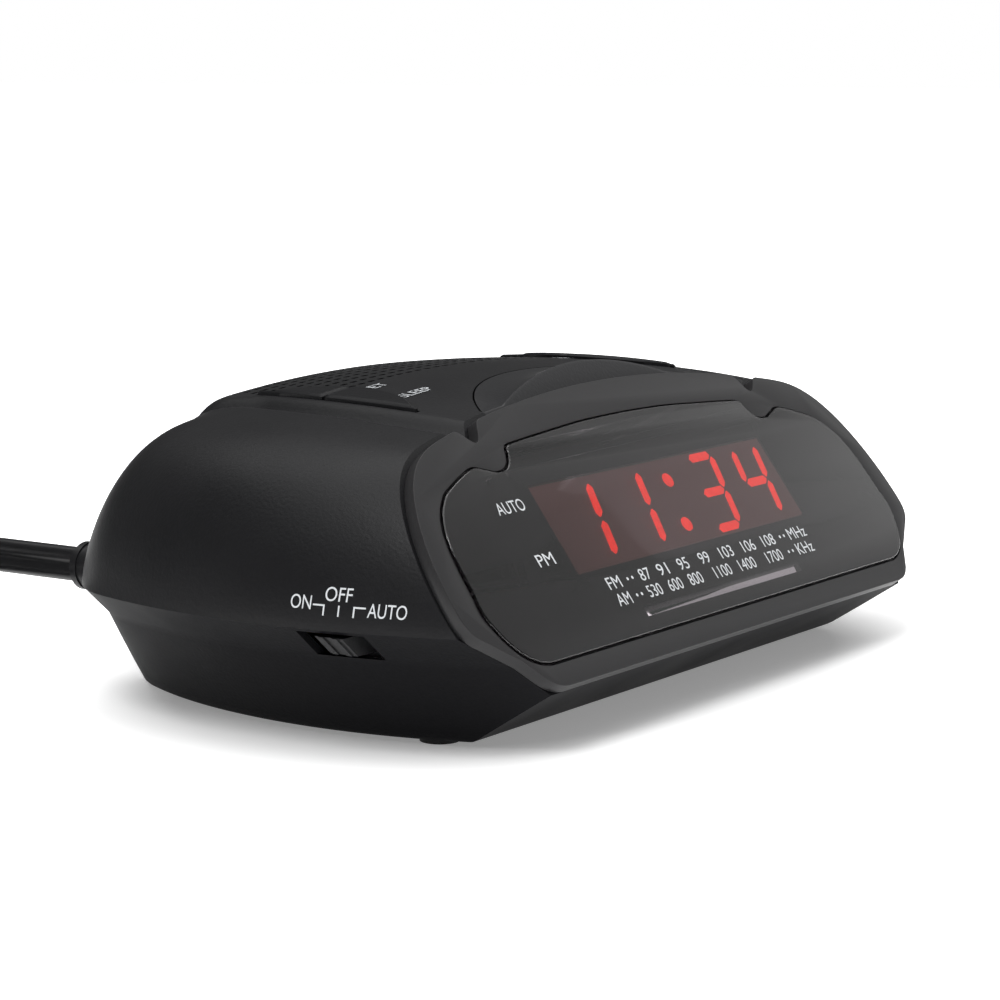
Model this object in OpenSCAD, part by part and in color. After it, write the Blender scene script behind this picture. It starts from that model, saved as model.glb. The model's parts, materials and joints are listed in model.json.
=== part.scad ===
// Compact clock radio: domed case in two halves, raked front plate with a smoked lens,
// seven-segment display, slide-rule dial, top buttons, side controls and a flat twin mains lead.
// Origin: on the table under the middle of the case. +X right, +Y to the back, +Z up. Millimetres.

/* [Case] */
// Half of the greatest width, at the parting line
half_w = 87; // [80:0.5:95]
// Radius of the bowed sides, seen from above
side_r = 112.5; // [100:0.5:140]
// Radius of the two rear corners at the parting line
corner_r = 24; // [18:0.5:28]
// Depth behind and in front of the origin
back_y = 51; // [48:0.5:56]
// Height of the parting line above the table
split_z = 22; // [20:0.5:24]
// Height of the top at its middle
crown_z = 57; // [54:0.5:60]
// Wall thickness of the mouldings
wall = 2.2; // [1.6:0.1:2.8]
// Half-width of the base where it meets the table
base_half_w = 70; // [64:0.5:74]
// How far the rubber feet stand proud of the base
foot_proud = 0.8; // [0.5:0.1:1.5]

/* [Front] */
// Rake of the front plate, back from upright
face_tilt = 36.4; // [30:0.1:42]
// Thickness of the front plate
bezel_t = 2.4; // [2:0.1:3]
// Height of the front plate's lower edge
bezel_z0 = 12.4; // [11:0.1:14]
// Thickness of the smoked lens
lens_t = 1.6; // [1.2:0.1:2]
// Half-width and height of the display window, along the plate
window = [40.5, 16.7]; // [10:0.1:60]
// Height of a digit
digit_h = 16.5; // [14:0.1:16.6]

/* [Controls] */
// Travel of the four small push buttons
button_travel = 1.2; // [0.8:0.1:1.6]
// Travel of the snooze bar
snooze_travel = 1.5; // [1:0.1:2]
// Gap round each moving control
gap = 0.35; // [0.3:0.05:0.5]
// Radius of the tuning and volume wheels
wheel_r = 14; // [12:0.5:15]
// Travel of the dial pointer from one end of the scale to the other
dial_travel = 52; // [40:1:60]
// Step between two positions of the function switch
switch_step = 2.9; // [2:0.1:3.5]

/* [Mains lead] */
// Width and thickness of the flat twin lead
lead = [6.7, 3.4]; // [3:0.1:8]
// Height at which the lead leaves the back
lead_z = 20; // [16:0.5:24]
// Distance of the lead from the middle
lead_x = -50; // [-56:1:-44]

/* [Hidden] */

function mix(a, b, t) = a + (b - a) * t;
function smooth(a, b, x) = let (t = min(1, max(0, (x - a) / (b - a)))) t * t * (3 - 2 * t);
function mirrored(half) = concat(half, [for (i = [len(half) - 1:-1:0]) [-half[i][0], half[i][1]]]);

// ---- plan outline of the case: bowed sides, rounded rear corners, straight back ----
bow_y = -1.4;
bow_cx = half_w - side_r;
corner_y = back_y - corner_r;
corner_x = bow_cx + sqrt(pow(side_r - corner_r, 2) - pow(corner_y - bow_y, 2));
corner_a = atan2(corner_y - bow_y, corner_x - bow_cx);

// Half-width of the outline at y, pulled in by t all round
function side_x(y, t = 0) =
    y <= bow_y + (side_r - t) * sin(corner_a)
        ? bow_cx + sqrt(pow(side_r - t, 2) - pow(y - bow_y, 2))
        : corner_x + sqrt(max(0, pow(corner_r - t, 2) - pow(y - corner_y, 2)));

// Distance of a point inside the outline from the nearest side, corner or back
function inset_at(x, y) =
    let (ax = abs(x), to_side = side_r - norm([ax - bow_cx, y - bow_y]), to_back = back_y - y,
         a = atan2(y - bow_y, ax - bow_cx))
    (a > corner_a && ax > corner_x && y > corner_y)
        ? corner_r - norm([ax - corner_x, y - corner_y])
        : min(to_side, to_back);

// ---- top surface ----
// Crown: a shallow arch across the case, highest behind the middle
crown_mid_y = 7;
function crown(x, y) =
    let (s = (y - crown_mid_y) / 30) crown_z + 0.35 * s - 2 * s * s - 2.65 * pow(x / 45, 2);

// Shoulder: rises steeply from the parting line, tighter behind the raised middle panel
function shoulder(x, d) =
    let (r = 14 + 14 * smooth(38, 56, abs(x)), t = max(0, 1 - max(0, d) / r))
    pow(1 - pow(t, 3.2), 0.66);

// Two grooves divide the raised middle panel from the sides
groove_inset = 36.6;
groove_half = 4.6;
groove_depth = 2.7;
function groove(x, y) =
    let (u = min(1, abs(side_x(min(y, corner_y)) - abs(x) - groove_inset) / groove_half))
    groove_depth * (1 + cos(180 * u)) / 2 * smooth(back_y - 4, back_y - 16, y);

// Height of the skin that lies t inside the outer surface
function skin_z(x, y, t = 0) = max(split_z, split_z
    + (crown(x, y) - t - split_z) * shoulder(x, inset_at(x, y) - t) - groove(x, y));

// ---- raked front plate: its front face is y = face_y0 + z tan(tilt) ----
face_y0 = -60;
face_k = tan(face_tilt);
function face_y(z, back = 0) = face_y0 + z * face_k + back / cos(face_tilt);
module on_face(back = 0)
    translate([0, face_y0, 0]) rotate([90 - face_tilt, 0, 0]) translate([0, 0, -back]) children();
// Heights above the table, of points that lie `back` behind the front face, as distances up the plate
function up(z, back = 0) = z / cos(face_tilt) + back * face_k;
function on_plate(points) = [for (p = points) [p[0], up(p[1])]];
// Height of the plate's lower edge at its back
plate_low = bezel_z0 - bezel_t * sin(face_tilt);

// Columns across the case: distances in from the side, then shares of the middle
columns = [0, 0.25, 0.8, 1.8, 3.2, 5, 8, 12, 17, 23, 29, 32, 34.2, 36.6, 39, 41.2, 44];
middle_columns = 4;
n_half = len(columns) + middle_columns;
function column_x(i, y, t = 0) = i < len(columns)
    ? side_x(y, t) * (1 - columns[i] / side_x(y))
    : side_x(y, t) * (1 - columns[len(columns) - 1] / side_x(y))
        * (1 - (i - len(columns) + 1) / middle_columns);

// Where a column of a skin meets the plane that lies `back` behind the plate's front face
function front_end(i, back, t, y = -45, n = 6) =
    n == 0 ? y : front_end(i, back, t, face_y(skin_z(column_x(i, y, t), y, t), back), n - 1);

// Rows from the front plate to the back, close together where the back turns down
rows = [0, 0.1, 0.22, 0.34, 0.46, 0.58, 0.68, 0.76, 0.83, 0.88, 0.92, 0.95, 0.972, 0.987, 0.996, 1];

// One skin of the upper case: rows of points, each from left to right
function skin(t, back) = [for (v = rows) [for (k = [0:2 * n_half - 2])
    let (i = min(k, 2 * n_half - 2 - k), side = k < n_half ? -1 : 1,
         y0 = front_end(i, back, t), y = mix(y0, back_y - t, v), x = side * column_x(i, y, t))
    [x, y, skin_z(x, y, t)]]];

// Closed wall between two skins that have the same rows and columns
function flat(grid) = [for (row = grid) each row];
function skin_faces(nr, nc, at, flip) = [for (r = [0:nr - 2], c = [0:nc - 2], half = [0, 1])
    let (a = at + r * nc + c, t = half == 0 ? [a, a + 1, a + nc + 1] : [a, a + nc + 1, a + nc])
    flip ? [t[2], t[1], t[0]] : t];
function rim_faces(rim, at) = [for (i = [0:len(rim) - 1], half = [0, 1])
    let (a = rim[i], b = rim[(i + 1) % len(rim)]) half == 0 ? [a, b, a + at] : [b, b + at, a + at]];
module wall_between(outer, inner) {
    nr = len(outer);
    nc = len(outer[0]);
    rim = concat([for (c = [0:nc - 1]) c], [for (r = [1:nr - 1]) r * nc + nc - 1],
        [for (c = [nc - 2:-1:0]) (nr - 1) * nc + c], [for (r = [nr - 2:-1:1]) r * nc]);
    polyhedron(concat(flat(outer), flat(inner)), concat(skin_faces(nr, nc, 0, true),
        skin_faces(nr, nc, nr * nc, false), rim_faces(rim, nr * nc)), convexity = 6);
}

// ---- plans of the top controls ----
snooze_arc_r = 51.2;
snooze_rear_y = -0.5;
snooze_half = 37.4;
function snooze_rear(x) = snooze_rear_y - snooze_arc_r + sqrt(pow(snooze_arc_r, 2) - x * x);
module snooze_plan(grow = 0) intersection() {
    translate([0, snooze_rear_y - snooze_arc_r]) circle(snooze_arc_r + grow, $fn = 160);
    translate([-snooze_half - grow, -40]) square([2 * (snooze_half + grow), 60]);
}

// Small buttons: a crescent along each groove, cut across at key_split
key_arc_r = 23.75;
key_arc = [-59.75, 11.5];
key_ends = [-8, 31];
key_split = 13;
key_edge = 41.7;
function key_outer(y, grow = 0) = key_edge - side_x(y) - grow;
function key_inner(y, grow = 0) = max(key_outer(y) + 0.6 + grow,
    key_arc[0] + sqrt(max(0, pow(key_arc_r + grow, 2) - pow(y - key_arc[1], 2))));
function spread(a, b, n) = [for (i = [0:n]) mix(a, b, i / n)];
module key_plan(y0, y1, grow = 0) {
    ys = spread(y0, y1, 12);
    polygon(concat([for (y = ys) [key_outer(y, grow), y]],
        [for (i = [len(ys) - 1:-1:0]) [key_inner(ys[i], grow), ys[i]]]));
}

// ---- positions of what the mouldings carry ----
post_r = 2.4;
speaker_at = [0, 21];
speaker_z = 46;
speaker_post = 18.5;
speaker_posts = [for (i = [-1, 1], j = [-1, 1]) speaker_at + speaker_post * [i, j]];
board_t = 1.6;
board_z = 30.4;
board_posts = [[33, -14], [44, 6], [34, 30]];
key_board_z = 42.4;
// Height of the switch plungers under the keys
tact_top = 46.4;
key_posts = [for (i = [-1, 1], y = [8, 30]) [i * 32, y]];
rod_r = 4;
rod_at = [43, 14];
rod_x = [-30, 38];
rod_rests = [-26, 34];

// ---- case mouldings ----
base_z = foot_proud;
toe_y = -33;
base_side_r = 90;
base_corner_r = 17;
floor_z = base_z + wall;
boss_at = [[-61, -14], [46, -14], [-48, 38], [48, 38]];
boss_r = 3.6;
screw_r = 1.5;
foot_at = [[-62.3, -25], [62.3, -25], [-57, 24], [57, 24]];
foot_r = 3.5;
foot_z = 1.6;
grille_rows = 6;
grille_pitch = 3.2;
grille_y0 = 20;
grille_w = 64;
grille_slot = 1.2;
relief_r = 5.3;
slot_z = [16.4, 21.4];

module relief_hole() translate([lead_x, back_y + 1, lead_z]) rotate([90, 0, 0])
    cylinder(r = relief_r, h = 8, $fn = 32);

// Post that hangs from the skin down to z0
function post_top(p, r) =
    min([for (a = [0:45:315]) skin_z(p[0] + r * cos(a), p[1] + r * sin(a))]) - wall / 3;
module post(p, r, z0) translate([p[0], p[1], z0]) cylinder(r = r, h = post_top(p, r) - z0, $fn = 32);

module upper_case() color("#1b1b1d") difference() {
    union() {
        wall_between(skin(0, bezel_t), skin(wall, bezel_t));
        for (p = boss_at) post(p, boss_r, split_z);
        for (p = speaker_posts) post(p, post_r, speaker_z);
        for (p = key_posts) post(p, post_r, key_board_z + board_t);
    }
    for (p = boss_at) translate([p[0], p[1], split_z - 1]) cylinder(r = screw_r - 0.2, h = 14, $fn = 24);
    translate([0, 0, 44]) linear_extrude(20) snooze_plan(gap);
    for (side = [0, 1]) mirror([side, 0, 0]) translate([0, 0, 50])
        linear_extrude(12) key_plan(key_ends[0] - gap, key_ends[1] + gap, gap);
    for (row = [0:grille_rows - 1]) translate([0, grille_y0 + row * grille_pitch, 50])
        linear_extrude(12) square([grille_w, grille_slot], center = true);
    relief_hole();
}

// Lower case: outlines that draw in from the parting line to the base
undercut_z = 16.1;
undercut_share = 0.42;
function draw_in(z) = z > undercut_z
    ? undercut_share * (split_z - z) / (split_z - undercut_z)
    : mix(1, undercut_share, (z - base_z) / (undercut_z - base_z));
function lower_front(z) = z >= plate_low ? face_y(z, bezel_t)
    : mix(toe_y, face_y(plate_low, bezel_t), (z - base_z) / (plate_low - base_z));
function lower_ring(z, t) =
    let (f = draw_in(z), w = mix(half_w, base_half_w, f), r = mix(side_r, base_side_r, f),
         cr = mix(corner_r, base_corner_r, f), cx = w - r, ky = back_y - cr,
         kx = cx + sqrt(pow(r - cr, 2) - pow(ky - bow_y, 2)),
         a1 = atan2(ky - bow_y, kx - cx), y0 = lower_front(z) + t, a0 = asin((y0 - bow_y) / (r - t)))
    mirrored(concat(
        [for (a = spread(a0, a1, 14)) [cx + (r - t) * cos(a), bow_y + (r - t) * sin(a)]],
        [for (a = spread(a1 + 6, 90, 8)) [kx + (cr - t) * cos(a), ky + (cr - t) * sin(a)]]));
outer_levels = [base_z, 4, 8, plate_low, 13, undercut_z, 19, split_z];
inner_levels = [floor_z, 8, plate_low, 13, undercut_z, 19, split_z];
module lower_shell() {
    rings = concat([for (z = outer_levels) [for (p = lower_ring(z, 0)) [p[0], p[1], z]]],
        [for (i = [len(inner_levels) - 1:-1:0]) let (z = inner_levels[i])
            [for (p = lower_ring(z, wall)) [p[0], p[1], z]]]);
    n = len(rings[0]);
    m = len(rings);
    polyhedron(flat(rings), concat([[for (i = [0:n - 1]) i]],
        [for (r = [0:m - 2], c = [0:n - 1]) let (d = (c + 1) % n)
            [r * n + c, (r + 1) * n + c, (r + 1) * n + d, r * n + d]],
        [[for (i = [n - 1:-1:0]) (m - 1) * n + i]]), convexity = 6);
}
module side_slot(y, length) translate([60, y - length / 2, slot_z[0]])
    cube([40, length, slot_z[1] - slot_z[0]]);

// Side controls
tune_at = [70.2, -8];
volume_at = [65.3, 24];
wheel_z = 17;
wheel_t = 3.8;
wheel_slot = 1.8 * wheel_r;
function_y = -18.5;
function_slot = 2 * switch_step + 6.8;
band_y = -30;
band_travel = 3;
band_slot = 9.6;

// Battery bay under the left of the case
tray = [56, 30, 18.6];
tray_at = [-55, -27];
tray_wall = 1;
door_t = 1.8;
door_lip = 1.2;

module lower_case() color("#1d1d1f") difference() {
    union() {
        lower_shell();
        for (p = boss_at) translate([p[0], p[1], floor_z - 1])
            cylinder(r = boss_r, h = split_z - floor_z + 1, $fn = 32);
        for (p = board_posts) translate([p[0], p[1], floor_z - 1])
            cylinder(r = post_r, h = board_z - floor_z + 1, $fn = 32);
        for (x = rod_rests) translate([x - 1, rod_at[0] - 4, floor_z - 1])
            cube([2, 8, rod_at[1] - rod_r - floor_z + 1]);
    }
    for (p = boss_at) {
        translate([p[0], p[1], -1]) cylinder(r = screw_r + 0.2, h = 30, $fn = 24);
        translate([p[0], p[1], -1]) cylinder(r = 3.1, h = 5, $fn = 32);
    }
    translate([-60, -60, bezel_z0 + 1.4]) cube([120, 28, 20]);
    side_slot(tune_at[1], wheel_slot);
    side_slot(volume_at[1], wheel_slot);
    side_slot(band_y + band_travel / 2, band_slot);
    mirror([1, 0, 0]) side_slot(function_y, function_slot);
    translate([tray_at[0] - door_lip - 0.3, tray_at[1] - door_lip - 0.3, -1])
        cube([tray[0] + 2 * door_lip + 0.6, tray[1] + 2 * door_lip + 0.6, 6]);
    relief_hole();
    for (p = foot_at) translate([p[0], p[1], -1]) cylinder(r = foot_r + 0.1, h = foot_z + 1, $fn = 32);
}

// ---- front plate and lens ----
lens_edge = [[63, 16.1], [65.7, 16.6], [68.5, 17.8], [71, 20], [72.6, 22.5], [73.6, 25],
    [73.2, 28], [72.8, 31.8], [72.2, 35.1], [71, 38], [68.8, 40.6], [65.5, 42.8], [62, 44], [58.5, 45],
    [54.1, 45.9], [51, 45.3], [48, 44.6], [45.2, 44.8], [43.3, 45.7], [42.1, 47], [41.2, 48.2],
    [38, 48.6], [26, 49.3], [14, 49.9], [0, 50.1]];
pocket = 1.2;
plate_round = 3;
window_z = 27.8;
dial_z = 19.4;
dial_slot = [dial_travel + 4.4, 1.7];
module lens_plan() polygon(on_plate(mirrored(lens_edge)));
module window_plan(grow = 0) translate([-window[0] - grow, up(window_z) - grow])
    square([2 * (window[0] + grow), window[1] + 2 * grow]);

module plate_plan() offset(r = plate_round, $fn = 64) offset(delta = -plate_round)
    polygon(mirrored(concat(
        [for (z = [plate_low, 13, undercut_z, 19]) [lower_ring(z, 0)[0][0], up(z, bezel_t)]],
        [for (i = [0:n_half - 1]) let (y = front_end(i, bezel_t / 2, 0), x = column_x(i, y))
            [x, up(skin_z(x, y), bezel_t / 2)]])));

module front_bezel() color("#3c3b3c") on_face(bezel_t) difference() {
    linear_extrude(bezel_t) plate_plan();
    translate([0, 0, bezel_t - pocket]) linear_extrude(bezel_t) offset(delta = 0.3) lens_plan();
    translate([0, 0, -1]) linear_extrude(bezel_t + 1) window_plan(0.6);
    translate([-dial_slot[0] / 2, up(dial_z) - dial_slot[1] / 2, -1])
        cube([dial_slot[0], dial_slot[1], bezel_t + 1]);
}
module display_lens() color("#3e3d40", 0.8) on_face(pocket) linear_extrude(lens_t) lens_plan();

// ---- top buttons ----
// Solid between the plate z = floor and a top given as rows of points over it
module capped(top, floor) {
    nr = len(top);
    nc = len(top[0]);
    under = [for (row = top) [for (p = row) [p[0], p[1], floor]]];
    wall_between(top, under);
}
key_bottom = tact_top + button_travel + 0.4;
key_flange = [49.4, 1];
key_proud = 1;
module key(y0, y1, side) mirror([side > 0 ? 1 : 0, 0, 0]) {
    capped([for (v = spread(y0, y1, 8)) [for (u = spread(0, 1, 4))
        let (x = mix(key_outer(v), key_inner(v), u)) [x, v, crown(x, v) + key_proud]]], key_bottom);
    translate([0, 0, key_flange[0]]) linear_extrude(key_flange[1]) key_plan(y0, y1, 0.9);
}
key_gap = 0.7;
module set_button() color("#1c1c1e") key(key_split + key_gap / 2, key_ends[1], -1);
module sleep_button() color("#1c1c1e") key(key_ends[0], key_split - key_gap / 2, -1);
module hour_button() color("#1c1c1e") key(key_split + key_gap / 2, key_ends[1], 1);
module minute_button() color("#1c1c1e") key(key_ends[0], key_split - key_gap / 2, 1);

// Snooze bar: its front lies just behind the plate and stands up as a crescent
snooze_top = 59.2;
snooze_floor = tact_top + snooze_travel + 0.3;
snooze_dish = 0.9;
snooze_sweep = 180;
function snooze_front(x) =
    max(snooze_top - x * x / snooze_sweep, crown(x, face_y(52, bezel_t)));
module snooze_button() color("#2b2b2d") {
    back = bezel_t + 0.3;
    xs = spread(-snooze_half, snooze_half, 24);
    foot = [for (x = xs) [x, face_y(snooze_floor + 0.2, back), snooze_floor + 0.2]];
    capped(concat([foot], [for (u = spread(0, 1, 6)) [for (x = xs)
        let (z = snooze_front(x), y0 = face_y(z, back), y1 = max(snooze_rear(x), y0 + 0.3))
        [x, mix(y0, y1, u), mix(z, crown(x, y1), u)
            - snooze_dish * sin(180 * u) * (1 - pow(x / snooze_half, 2))]]]), snooze_floor);
}

// ---- side controls ----
// Half-width of the lower case at a point on its side
function wall_x(y, z) =
    let (f = draw_in(z), r = mix(side_r, base_side_r, f))
    mix(half_w, base_half_w, f) - r + sqrt(r * r - pow(y - bow_y, 2));

knob_w = 5.7;
knob_z = [17.2, 20.8];
knob_proud = 1.4;
knob_ridge = 0.5;
lever_x = 7;
module slide_knob(y) {
    x0 = wall_x(y, knob_z[0]);
    x1 = wall_x(y, knob_z[1]);
    inner = x0 - lever_x + gap;
    module slice(w, out) translate([0, y + w / 2, 0]) rotate([90, 0, 0]) linear_extrude(w)
        polygon([[inner, knob_z[0]], [x0 + out, knob_z[0]], [x1 + out, knob_z[1]], [inner, knob_z[1]]]);
    slice(knob_w, knob_proud - knob_ridge);
    for (dy = [-1.4, 1.4]) translate([0, dy, 0]) slice(1.1, knob_proud);
}
module switch_body(y) {
    x = wall_x(y, knob_z[0]) - lever_x;
    translate([x - 6.5, y - 6.5, 13.5]) cube([6.5, 13, 8.2]);
    for (dy = [-4, 0, 4]) translate([x - 8, y + dy - 0.4, 15]) cube([1.5, 0.8, 6]);
}
module function_knob() color("#222224") mirror([1, 0, 0]) slide_knob(function_y);
module function_switch() color("#b9bcc0") mirror([1, 0, 0]) switch_body(function_y);
module band_knob() color("#222224") slide_knob(band_y);
module band_switch() color("#b9bcc0") switch_body(band_y);

shaft_r = 3;
shaft_fit = 0.05;
shaft_end = 15.2;
wheel_teeth = 36;
wheel_notch = 0.5;
wheel_top = split_z - 0.6;
module thumbwheel(at) translate([at[0], at[1], 0]) difference() {
    union() {
        translate([0, 0, wheel_z]) linear_extrude(wheel_t)
            polygon([for (i = [0:2 * wheel_teeth - 1])
                (wheel_r - (i % 2) * wheel_notch) * [cos(180 * i / wheel_teeth), sin(180 * i / wheel_teeth)]]);
        translate([0, 0, wheel_z]) cylinder(r = 6, h = wheel_top - wheel_z, $fn = 48);
    }
    translate([0, 0, wheel_z - 1]) cylinder(r = shaft_r + shaft_fit, h = 8, $fn = 48);
}
// Shaft that carries a wheel, with a retaining washer under it
module wheel_shaft() {
    translate([0, 0, shaft_end]) cylinder(r = shaft_r, h = split_z - shaft_end + 0.5, $fn = 48);
    translate([0, 0, shaft_end]) cylinder(r = shaft_r + 1.2, h = 1.2, $fn = 48);
}
module tuning_wheel() color("#232325") thumbwheel(tune_at);
module volume_wheel() color("#232325") thumbwheel(volume_at);
module tuning_capacitor() color("#d9dde0") translate([tune_at[0], tune_at[1], 0]) {
    wheel_shaft();
    translate([-10, -10, split_z + 0.4]) cube([20, 20, board_z - split_z - 0.4]);
}
module volume_pot() color("#a9adb1") translate([volume_at[0], volume_at[1], 0]) {
    wheel_shaft();
    translate([0, 0, split_z + 0.4]) cylinder(r = 8.5, h = 4.6, $fn = 48);
    translate([-6, -2, split_z + 4]) cube([12, 4, board_z - split_z - 4]);
}

// ---- dial behind the lens ----
pointer = [2.7, 2.6];
pointer_x = -24.6;
pointer_back = [2.75, 4.5];
rail_back = [4.9, 6];
rail = [84, 5];
leg = 2;
pulley_x = 37;
pulley_r = 1.8;
cord_back = 7.4;
cord_r = 0.35;
module dial_pointer() color("#e8e4dc") on_face(pointer_back[1])
    translate([pointer_x - pointer[0] / 2, up(dial_z) - pointer[1] / 2, 0])
        cube([pointer[0], pointer[1], pointer_back[1] - pointer_back[0]]);
module dial_plate() color("#b3b3b5") {
    on_face(rail_back[1]) translate([-rail[0] / 2, up(dial_z) - rail[1] / 2, 0])
        cube([rail[0], rail[1], rail_back[1] - rail_back[0]]);
    on_face(rail_back[1]) for (side = [-1, 1])
        translate([side * (rail[0] / 2 - leg / 2) - leg / 2, up(dial_z) - rail[1] / 2, 0])
            cube([leg, rail[1], rail_back[1] - bezel_t]);
    on_face(cord_back + 1.2) for (side = [-1, 1]) translate([side * pulley_x, up(dial_z), 0])
        cylinder(r = pulley_r, h = cord_back + 1.2 - rail_back[1], $fn = 32);
}
module dial_cord() color("#d8cfb8") on_face(cord_back) translate([0, up(dial_z), 0]) {
    run_r = pulley_r + cord_r;
    for (side = [-1, 1]) {
        translate([-pulley_x, side * run_r, 0]) rotate([0, 90, 0])
            cylinder(r = cord_r, h = 2 * pulley_x, $fn = 16);
        translate([side * pulley_x, 0, 0]) rotate([0, 0, -90 * side])
            rotate_extrude(angle = 180, $fn = 48) translate([run_r, 0]) circle(cord_r, $fn = 16);
    }
}

// ---- clock display ----
housing_back = [1.5, 8.5];
digit_x = [-30.9, -14.2, 13.1, 29.7];
digit_w = 9.9;
digit_slant = 14;
bar = 1.7;
colon = [[2.4, 38], [0.1, 30.6]];
colon_r = 1.4;
digit_z = 27.9;
segment_gap = 0.9;
// Segments a to g of each figure shown
figures = [[0, 1, 1, 0, 0, 0, 0], [0, 1, 1, 0, 0, 0, 0], [1, 1, 1, 1, 0, 0, 1], [0, 1, 1, 0, 0, 1, 1]];
segment_at = [[0, 1, 0], [0.5, 0.75, 90], [0.5, 0.25, 90], [0, 0, 0], [-0.5, 0.25, 90],
    [-0.5, 0.75, 90], [0, 0.5, 0]];
module segment(length) polygon([[-length / 2, 0], [-length / 2 + bar / 2, bar / 2],
    [length / 2 - bar / 2, bar / 2], [length / 2, 0], [length / 2 - bar / 2, -bar / 2],
    [-length / 2 + bar / 2, -bar / 2]]);
module figure_plan(on) for (i = [0:6]) if (on[i] == 1) let (s = segment_at[i], h = digit_h - bar)
    translate([s[0] * (digit_w - bar), s[1] * h + bar / 2]) rotate(s[2])
        segment((s[2] == 0 ? digit_w - bar : h / 2) - segment_gap);
module led_housing() color("#4a3a3a") on_face(housing_back[1])
    linear_extrude(housing_back[1] - housing_back[0]) window_plan(0.3);
module led_segments() color("#ee3c32") on_face(housing_back[0]) linear_extrude(0.25) {
    for (i = [0:3]) translate([digit_x[i], up(digit_z)])
        multmatrix([[1, tan(digit_slant), 0, 0], [0, 1, 0, 0], [0, 0, 1, 0]]) figure_plan(figures[i]);
    for (c = colon) translate([c[0], up(c[1])]) circle(colon_r, $fn = 32);
}
display_z = [25, 43.6];
module display_board() color("#2f6b46") on_face(housing_back[1] + board_t)
    translate([-window[0], up(display_z[0]), 0])
        cube([2 * window[0], up(display_z[1] - display_z[0]), board_t]);
module ribbon_cable() color("#c9cdd2") translate([24, 0, 0]) rotate([90, 0, 90])
    linear_extrude(12) polygon([[-21.9, 34.1], [-19.5, 34.9], [-16.5, 32.1], [-16.5, 32.6],
        [-19.3, 35.5], [-21.5, 34.7]]);

// ---- keys and main board ----
tact = [6, 6, 1.5];
tacts = [[-41, 22], [-41, 2], [41, 22], [41, 2], [0, -6]];
module key_board() color("#2f6b46") translate([0, 0, key_board_z]) linear_extrude(board_t) {
    for (side = [-1, 1]) translate([side * 38, 11.8]) square([18, 42.6], center = true);
    translate([-30, -9.5]) square([60, 7]);
}
module tact_switches() color("#8f9397") for (p = tacts)
    translate([p[0], p[1], key_board_z + board_t]) {
        translate([-tact[0] / 2, -tact[1] / 2, 0]) cube(tact);
        cylinder(r = 1.7, h = tact_top - key_board_z - board_t, $fn = 32);
    }
board_x = [27, 76];
board_y = [-19, 33];
module main_board() color("#8a6a3a") translate([0, 0, board_z]) difference() {
    translate([board_x[0], board_y[0], 0])
        cube([board_x[1] - board_x[0], board_y[1] - board_y[0], board_t]);
    translate([boss_at[1][0], boss_at[1][1], -1]) cylinder(r = boss_r + 0.6, h = 4, $fn = 32);
    for (p = board_posts) translate([p[0], p[1], -1]) cylinder(r = 1, h = 4, $fn = 24);
}
module dip(at, length, width, pins) translate([at[0], at[1], board_z + board_t]) {
    translate([-width / 2, -length / 2, 0.6]) cube([width, length, 3.2]);
    for (i = [0:pins - 1], side = [-1, 1])
        translate([side * (width / 2 + 0.6) - 0.5, (i - (pins - 1) / 2) * 2.54 - 0.3, 0])
            cube([1, 0.6, 2.2]);
}
module clock_chip() color("#202022") dip([34, 7], 35, 6.4, 14);
module radio_chip() color("#202022") dip([62, 2], 20, 6.4, 8);
module if_cans() color("#d4d7da") for (p = [[50, -2], [50, 8], [50, 18], [72, 14]])
    translate([p[0] - 3.7, p[1] - 3.7, board_z + board_t]) cube([7.4, 7.4, 8.4]);
module electrolytics() color("#27345c") for (p = [[58, 24], [67, 25], [61, -16], [70, -14]])
    translate([p[0], p[1], board_z + board_t]) cylinder(r = 3.1, h = 8, $fn = 32);

// ---- transformer, aerial and loudspeaker ----
core = [34, 13, 28];
core_at = [-40, 20];
leg_w = 11;
core_window = [6, 17];
module transformer_core() color("#7c8086") translate([core_at[0], core_at[1], floor_z]) difference() {
    translate([-core[0] / 2, -core[1] / 2, 0]) cube(core);
    for (side = [-1, 1]) translate([side * (leg_w + core_window[0]) / 2, 0, core[2] / 2])
        cube([core_window[0], core[1] + 2, core_window[1]], center = true);
}
module transformer_winding() color("#c58a3a")
    translate([core_at[0], core_at[1], floor_z + core[2] / 2]) difference() {
        cube([leg_w + 2 * core_window[0] - 0.6, 24, core_window[1] - 0.6], center = true);
        cube([leg_w + 0.2, core[1] + 0.2, 30], center = true);
        for (side = [-1, 1]) translate([side * (leg_w / 2 + core_window[0]), 0, 0])
            cube([1, core[1] + 0.2, 30], center = true);
    }
module ferrite_rod() color("#3a3836") translate([rod_x[0], rod_at[0], rod_at[1]]) rotate([0, 90, 0])
    cylinder(r = rod_r, h = rod_x[1] - rod_x[0], $fn = 48);
module antenna_coil() color("#b5652c") translate([8, rod_at[0], rod_at[1]]) rotate([0, 90, 0])
    difference() {
        cylinder(r = rod_r + 0.9, h = 16, $fn = 48);
        translate([0, 0, -1]) cylinder(r = rod_r, h = 18, $fn = 48);
    }

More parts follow.
